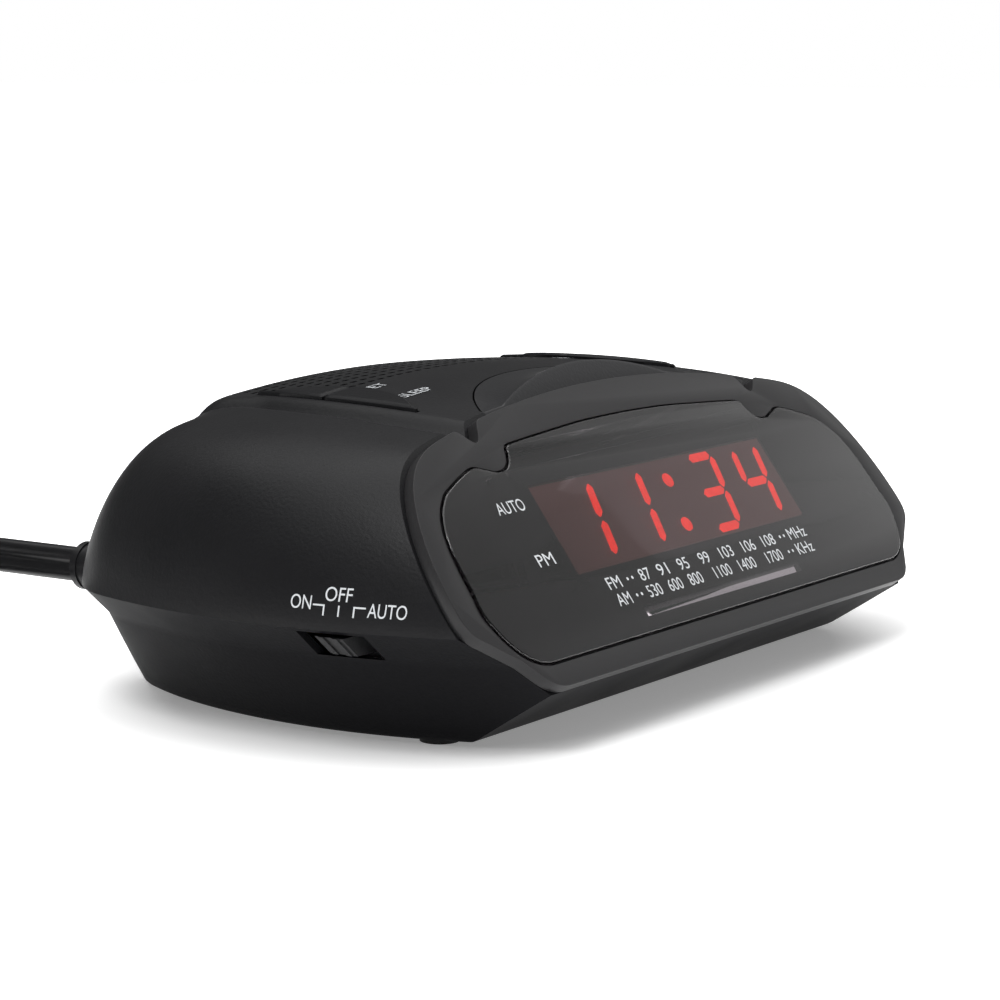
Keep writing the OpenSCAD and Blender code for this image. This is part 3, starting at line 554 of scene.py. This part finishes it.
def lower_case():
    edge = 0.7
    outer = [(BASE_Z, edge), (BASE_Z + 0.2, edge * 0.3), (BASE_Z + 0.7, 0)]
    outer += [(z, 0) for z in (2.6, 4, 6, 8, 10, PLATE_LOW, 12, 13, 14.2, 15.4)]
    outer += [(z, 0) for z in (UNDERCUT_Z, 17, 18.4, 20, 21.4, SPLIT_Z)]
    inner = [SPLIT_Z, 19, UNDERCUT_Z, 13, PLATE_LOW, 8, BASE_Z + WALL]
    rings = [[(x, y, z) for x, y in lower_ring(z, 0, d)] for z, d in outer]
    rings += [[(x, y, z) for x, y in lower_ring(z, WALL)] for z in inner]
    n = len(rings[0])
    faces = [list(range(n - 1, -1, -1)), [(len(rings) - 1) * n + i for i in range(n)]]
    for r in range(len(rings) - 1):
        for c in range(n):
            a, b = r * n + c, r * n + (c + 1) % n
            faces.append([a, b, b + n, a + n])
    base = make("tool", [p for ring in rings for p in ring], faces, None, None, flat=True)
    cutters = [prism(rectangle(-60, -60, 60, -32), BEZEL_Z0 + 1.4, 30)]
    for y, length in RIGHT_SLOTS:
        cutters.append(prism(rectangle(60, y - length / 2, 100, y + length / 2), SLOT_LOW, SLOT_HIGH))
    y, length = LEFT_SLOT
    cutters.append(prism(rectangle(-100, y - length / 2, -60, y + length / 2), SLOT_LOW, SLOT_HIGH))
    cutters.append(prism(rectangle(-56.5, -28.5, 2.5, 4.5), -1, 5))
    cutters.append(lead_hole())
    for x, y in SCREWS:
        cutters.append(prism(disc(x, y, SCREW_HEAD_R), -1, 4))
    for x, y in FEET:
        cutters.append(prism(disc(x, y, FOOT_HOLE_R), -1, 1.6))
    piece = shaped("case_bottom_moulding", base, "case", "case_bottom", cutters, angle=32)
    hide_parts("lower_case")


# ---------------------------------------------------------------- front plate and lens
LENS_EDGE = [(63, 16.1), (65.7, 16.6), (68.5, 17.8), (71, 20), (72.6, 22.5), (73.6, 25), (73.2, 28),
             (72.8, 31.8), (72.2, 35.1), (71, 38), (68.8, 40.6), (65.5, 42.8), (62, 44), (58.5, 45),
             (54.1, 45.9), (51, 45.3), (48, 44.6), (45.2, 44.8), (43.3, 45.7), (42.1, 47), (41.2, 48.2),
             (38, 48.6), (26, 49.3), (14, 49.9), (0, 50.1)]


def rounded(points, n=6):
    """A smooth curve through the points, ends kept."""
    out = []
    for i in range(len(points) - 1):
        p0, p1, p2 = points[max(0, i - 1)], points[i], points[i + 1]
        p3 = points[min(len(points) - 1, i + 2)]
        for j in range(n):
            t = j / n
            out.append(tuple(0.5 * (2 * b + (c - a) * t + (2 * a - 5 * b + 4 * c - d) * t * t
                                    + (3 * b - a - 3 * c + d) * t**3) for a, b, c, d in zip(p0, p1, p2, p3)))
    return out + [points[-1]]


def grown(outline, by):
    """The outline moved outward by a distance, for a counter-clockwise loop."""
    out = []
    n = len(outline)
    for i in range(n):
        (x0, y0), (x1, y1) = outline[i - 1], outline[(i + 1) % n]
        length = math.hypot(x1 - x0, y1 - y0) or 1
        x, y = outline[i]
        out.append((x + by * (y1 - y0) / length, y - by * (x1 - x0) / length))
    return out


def eased(line, at, reach):
    """The line with its corner at an index turned into a curve that starts and ends a reach away."""
    ends = []
    for step in (-1, 1):
        i, left = at, reach
        while math.dist(line[i], line[i + step]) < left:
            left -= math.dist(line[i], line[i + step])
            i += step
        share = left / math.dist(line[i], line[i + step])
        ends.append((i + step, [mix(a, b, share) for a, b in zip(line[i], line[i + step])]))
    (before, start), (after, end) = ends
    curve = []
    for t in spread(0, 1, 8):
        curve.append(tuple(mix(mix(a, b, t), mix(b, c, t), t) for a, b, c in zip(start, line[at], end)))
    return line[:before + 1] + curve + line[after:]


lens_outline = on_plate(mirrored(rounded(LENS_EDGE)))
DIAL_Z, WINDOW = 19.4, (40.5, 16.7, 27.8)


def window_plan(grow):
    half, height, z = WINDOW
    return rectangle(-half - grow, up(z) - grow, half + grow, up(z) + height + grow)


def front_plate():
    heights = (PLATE_LOW, 12, 13, 14.2, UNDERCUT_Z, 18, 20)
    below = [(lower_ring(z, 0)[0][0], up(z, BEZEL_T)) for z in heights]
    above = []
    for i in range(HALF_COLUMNS):
        y = front_end(i, BEZEL_T / 2)
        x = column_x(i, y)
        above.append((x, up(skin_z(x, y), BEZEL_T / 2)))
    place = on_face(BEZEL_T)
    half = [(0, below[0][1])] + below + above
    half = eased(eased(half, len(below) + 1, 3), 1, 3.5)
    base = prism(mirrored(half), 0, BEZEL_T, place)
    cutters = [
        prism(grown(lens_outline, 0.4), BEZEL_T - POCKET, BEZEL_T + 1, place),
        prism(window_plan(0.6), -1, BEZEL_T, place),
        prism(rectangle(-28.2, up(DIAL_Z) - 0.85, 28.2, up(DIAL_Z) + 0.85), -1, BEZEL_T, place),
    ]
    piece = shaped("front_plate", base, "case", "front_plate", cutters, bevel=0.45, bevel_angle=40)
    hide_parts("front_bezel")


def lens():
    base = prism(lens_outline, 0, LENS_T, on_face(POCKET))
    piece = shaped("smoked_lens", base, "case", "smoked_lens", bevel=0.3, bevel_angle=40)
    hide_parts("display_lens")


# ---------------------------------------------------------------- top buttons
def key(node, body, y0, y1, side):
    round_by, drop, proud, bottom = 0.9, 0.5, 1, 48
    grid = []
    for v in spread(y0, y1, 56):
        row = []
        for u in spread(0, 1, 20):
            x = mix(key_outer(v), key_inner(v), u)
            edge = min(x - key_outer(v), key_inner(v) - x, v - y0, y1 - v)
            z = crown(x, v) + proud - drop * (1 - min(1, max(0, edge) / round_by)) ** 2
            row.append((x, v, z))
        grid.append(row)
    if side > 0:
        grid = [[(-x, y, z) for x, y, z in reversed(row)] for row in grid]
    piece = shaped(node + "_cap", capped(grid, bottom), body, "keys", angle=40)
    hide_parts(node)


def snooze_front(x):
    return max(59.2 - x * x / 180, crown(x, face_y(52, BEZEL_T)))


def snooze():
    back, floor = BEZEL_T + 0.3, 48.2
    xs = spread(-SNOOZE_HALF, SNOOZE_HALF, 150)
    grid = [[(x, face_y(floor + 0.2, back), floor + 0.2) for x in xs]]
    edge = 0.5
    for down in (edge, edge * 0.3):
        grid.append([(x, face_y(snooze_front(x) - down, back), snooze_front(x) - down) for x in xs])
    for u in spread(0, 1, 40):
        row = []
        for x in xs:
            z = snooze_front(x)
            y0 = face_y(z - edge * 0.3, back) + edge * 0.4
            y1 = max(snooze_rear(x), y0 + 0.3)
            dish = 0.9 * math.sin(math.pi * u) * (1 - (x / SNOOZE_HALF) ** 2)
            row.append((x, mix(y0, y1, u), mix(z, crown(x, y1), u) - dish))
        grid.append(row)
    piece = shaped("snooze_bar_cap", capped(grid, floor), "snooze_bar", "snooze", angle=40)
    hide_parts("snooze_button")


# ---------------------------------------------------------------- printed marks
def glyphs(word, width, height):
    """Flat mesh of a word, its lower left at the origin, with the given width and height."""
    curve = bpy.data.curves.new("word", "FONT")
    curve.body = word
    curve.size = 1
    curve.resolution_u = 6
    obj = bpy.data.objects.new("word", curve)
    bpy.context.scene.collection.objects.link(obj)
    mesh = baked(obj)
    xs = [v.co.x for v in mesh.vertices]
    ys = [v.co.y for v in mesh.vertices]
    x0, y0 = min(xs), min(ys)
    kx, ky = width / (max(xs) - x0), height / (max(ys) - y0)
    points = [((v.co.x - x0) * kx, (v.co.y - y0) * ky) for v in mesh.vertices]
    faces = [list(p.vertices) for p in mesh.polygons]
    bpy.data.meshes.remove(mesh)
    return points, faces


def printed(name, shapes, place, slot):
    """Ink on a surface: place turns plan points into points in space."""
    points, faces = [], []
    for shape_points, shape_faces in shapes:
        at = len(points)
        points += [place(x, y) for x, y in shape_points]
        faces += [[at + i for i in face] for face in shape_faces]
    obj = make(name, points, faces, "case", slot)
    obj.data.materials.clear()
    obj.data.materials.append(INK)
    return obj


def word_at(word, x, y, width, height):
    """A word whose middle is at x and whose foot is at y."""
    points, faces = glyphs(word, width, height)
    return [(px + x - width / 2, py + y) for px, py in points], faces


def patch(outline):
    return outline, [list(range(len(outline)))]


def lens_prints():
    cap = 2.35
    two, three, four = 3.5, 4.6, 5.9
    fm, am = up(24.6) - cap / 2, up(21.9) - cap / 2
    shapes = [word_at("FM", -33.8, fm, 4.2, cap), word_at("AM", -33.6, am, 4.4, cap)]
    for word, x, width in (("87", -23.4, two), ("91", -17.2, two), ("95", -10, two), ("99", -2.4, two),
                           ("103", 5.8, three), ("106", 14.2, three), ("108", 21.9, three)):
        shapes.append(word_at(word, x, fm, width, cap))
    for word, x, width in (("530", -23.2, three), ("600", -16, three), ("800", -8.8, three),
                           ("1100", 1.1, four), ("1400", 10.3, four), ("1700", 20.8, four)):
        shapes.append(word_at(word, x, am, width, cap))
    shapes += [word_at("MHz", 33.2, fm, 6.7, cap), word_at("KHz", 33, am, 6.2, cap)]
    for foot in (fm, am):
        for x in (-29.2, -27.6, 26.6, 28.2):
            shapes.append(patch(disc(x, foot + cap / 2, 0.32, 16)))
    shapes.append(word_at("AUTO", -50.4, up(39.1) - cap / 2, 8.4, cap))
    shapes.append(word_at("PM", -49.2, up(30.4) - cap / 2, 5, cap))
    front = on_face(POCKET - LENS_T - 0.03)
    printed("lens_prints", shapes, lambda x, y: front @ Vector((x, y, 0)), "smoked_lens")


def side_point(y, z, side, proud=0.04):
    """Point on the side of the upper case at a height."""
    low, high = 40.0, side_x(y)
    for _ in range(40):
        middle = (low + high) / 2
        if skin_z(middle, y) > z:
            low = middle
        else:
            high = middle
    return Vector((side * (low + proud), y, z + proud * 0.3))


def side_prints():
    cap, thin, low, top = 2.3, 0.14, 24.5, 26.3
    centre = -20.5
    words = (("OFF", -0.3, 26.9, 4.9), ("ON", -7.1, 25.3, 3.9), ("AUTO", 8.5, 24.7, 6.7))
    shapes = [word_at(word, x, z, width, cap) for word, x, z, width in words]
    shapes.append(patch(rectangle(-thin, low, thin, top)))
    for s in (-1, 1):
        foot = 2.6 * s
        upright, bar = foot + 2 * thin * s, foot + 2.2 * s
        shapes.append(patch(rectangle(min(foot, upright), low, max(foot, upright), top)))
        shapes.append(patch(rectangle(min(foot, bar), top - 2 * thin, max(foot, bar), top)))
    printed("side_prints", shapes, lambda x, z: side_point(centre - x, z, -1), "case_top")


def top_prints():
    cap = 2.5
    words = (("SET", -31.8, 9.5, 6.2), ("SLEEP", -33, -0.5, 9.2), ("HR", 32.4, 9.5, 4.6),
             ("MIN", 33.4, -0.5, 6.4))
    shapes = [word_at(word, x, y, width, cap) for word, x, y, width in words]
    printed("top_prints", shapes, lambda x, y: Vector((x, y, skin_z(x, y) + 0.12)), "case_top")


# ---------------------------------------------------------------- mains lead
LEAD_W, LEAD_T = 6.7, 3.4
COIL_R, COIL_Y, DROP_Y = 45.85, 120, 88
COIL_X = LEAD_X - COIL_R
TAIL_R, TAIL_END, PLUG_H = 44, 83, 13


def lead_path():
    drop = LEAD_Z - 1.5 * LEAD_W
    bend = 2 * math.atan(drop / (COIL_Y - DROP_Y))
    r = (COIL_Y - DROP_Y) / 2 / math.sin(bend)
    path = [(LEAD_X, y, LEAD_Z) for y in spread(44, DROP_Y, 11)]
    for a in spread(0, bend, 8)[1:]:
        path.append((LEAD_X, DROP_Y + r * math.sin(a), LEAD_Z - r * (1 - math.cos(a))))
    for a in spread(bend, 0, 8)[1:]:
        path.append((LEAD_X, COIL_Y - r * math.sin(a), LEAD_Z - drop + r * (1 - math.cos(a))))
    inner, upper, lower = 34.75, 1.5 * LEAD_W, 0.5 * LEAD_W
    step = 6
    for deg in range(step, 1980 + 1, step):
        if deg <= 1080:
            r, z = mix(COIL_R, inner, deg / 1080), upper
        elif deg <= 1200:
            r, z = inner, mix(upper, lower, smooth(1080, 1200, deg))
        elif deg <= 1440:
            r, z = mix(inner, 38.45, (deg - 1200) / 240), lower
        else:
            r, z = mix(38.45, TAIL_R, (deg - 1440) / 540), lower
        a = math.radians(deg)
        path.append((COIL_X + r * math.cos(a), COIL_Y + r * math.sin(a), z))
    plug_x = COIL_X - TAIL_R
    for t in spread(0, 1, 10)[1:]:
        path.append((plug_x, mix(COIL_Y, TAIL_END - 1, t), mix(lower, PLUG_H / 2, smooth(0.4, 1, t))))
    return path


def lead_profile():
    """Two round cores side by side: (across, along the width)."""
    r = LEAD_T / 2
    off = LEAD_W / 2 - r
    profile = []
    for rise, first, last in ((off, -52, 232), (-off, 128, 412)):
        for a in spread(math.radians(first), math.radians(last), 14):
            profile.append((r * math.cos(a), rise + r * math.sin(a)))
    return profile


def mains_lead():
    path = [Vector(p) for p in lead_path()]
    profile = lead_profile()
    n = len(profile)
    points = []
    for i, p in enumerate(path):
        d = (path[min(len(path) - 1, i + 1)] - path[max(0, i - 1)]).normalized()
        side = Vector((d.y, -d.x, 0)).normalized()
        tall = side.cross(d)
        points += [p + side * a + tall * b for a, b in profile]
    faces = [list(range(n)), [len(points) - 1 - i for i in range(n)]]
    for r in range(len(path) - 1):
        for c in range(n):
            a, b = r * n + c, r * n + (c + 1) % n
            faces.append([a, a + n, b + n, b])
    piece = make("mains_lead", points, faces, "case", "lead", angle=50)
    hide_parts("power_cord", "cord_coil", "cord_tail")


# ---------------------------------------------------------------- room
def floor():
    mesh = bpy.data.meshes.new("floor")
    mesh.from_pydata([(-9, -9, 0), (9, -9, 0), (9, 9, 0), (-9, 9, 0)], [], [(0, 1, 2, 3)])
    obj = bpy.data.objects.new("floor", mesh)
    bpy.context.scene.collection.objects.link(obj)
    made, tree, shader = node_material("floor")
    tinted(tree, shader, noise(tree, 3, 2.0), (0.86, 0.86, 0.86), 0.01)
    shader.inputs["Roughness"].default_value = 0.55
    shader.inputs["Emission Color"].default_value = (1, 1, 1, 1)
    # Painted shadow: the floor's emission is low in an oval round the clock, a painted contact shadow, and
    # rises to full white further out
    where = tree.nodes.new("ShaderNodeTexCoord")
    away = tree.nodes.new("ShaderNodeVectorMath")
    away.operation = "LENGTH"
    shadow_oval = tree.nodes.new("ShaderNodeVectorMath")
    shadow_oval.operation = "MULTIPLY"
    shadow_oval.inputs[1].default_value = (1, 1.5, 1)
    tree.links.new(where.outputs["Object"], shadow_oval.inputs[0])
    tree.links.new(shadow_oval.outputs["Vector"], away.inputs[0])
    glow = ramped(tree, away.outputs["Value"], 0.25, 1.2, 0.08, 0.17)
    tree.links.new(glow, shader.inputs["Emission Strength"])
    mesh.materials.append(made)


def softbox(name, place, aim, size, watts):
    data = bpy.data.lights.new(name, "AREA")
    data.shape = "RECTANGLE"
    data.size, data.size_y = size
    data.energy = watts
    obj = bpy.data.objects.new(name, data)
    bpy.context.scene.collection.objects.link(obj)
    obj.location = place
    obj.rotation_euler = (Vector(aim) - Vector(place)).to_track_quat("-Z", "Y").to_euler()


def room():
    floor()
    world = bpy.data.worlds.new("studio")
    bpy.context.scene.world = world
    world.use_nodes = True
    tree = world.node_tree
    tree.nodes["Background"].inputs["Color"].default_value = (1, 1, 1, 1)
    tree.nodes["Background"].inputs["Strength"].default_value = 0.1
    seen = tree.nodes.new("ShaderNodeBackground")
    seen.inputs["Color"].default_value = (1, 1, 1, 1)
    rays = tree.nodes.new("ShaderNodeLightPath")
    choose = tree.nodes.new("ShaderNodeMixShader")
    tree.links.new(rays.outputs["Is Camera Ray"], choose.inputs[0])
    tree.links.new(tree.nodes["Background"].outputs[0], choose.inputs[1])
    tree.links.new(seen.outputs[0], choose.inputs[2])
    tree.links.new(choose.outputs[0], tree.nodes["World Output"].inputs["Surface"])
    softbox("overhead", (0.1, 0.1, 1.6), (0, 0, 0), (2.2, 2.2), 30)
    softbox("sheen", (-0.95, -0.25, 1.45), (0, 0, 0.03), (0.6, 0.6), 12)
    softbox("front_panel", (1.64, -0.64, 0.99), (0, -0.035, 0.03), (2.7, 2.7), 13)
    bpy.context.scene.view_settings.view_transform = "Standard"


upper_case()
lower_case()
front_plate()
lens()
snooze()
key("set_button", "set_key", KEY_SPLIT + KEY_GAP / 2, KEY_ENDS[1], -1)
key("sleep_button", "sleep_key", KEY_ENDS[0], KEY_SPLIT - KEY_GAP / 2, -1)
key("hour_button", "hour_key", KEY_SPLIT + KEY_GAP / 2, KEY_ENDS[1], 1)
key("minute_button", "minute_key", KEY_ENDS[0], KEY_SPLIT - KEY_GAP / 2, 1)
lens_prints()
side_prints()
top_prints()
mains_lead()
room()
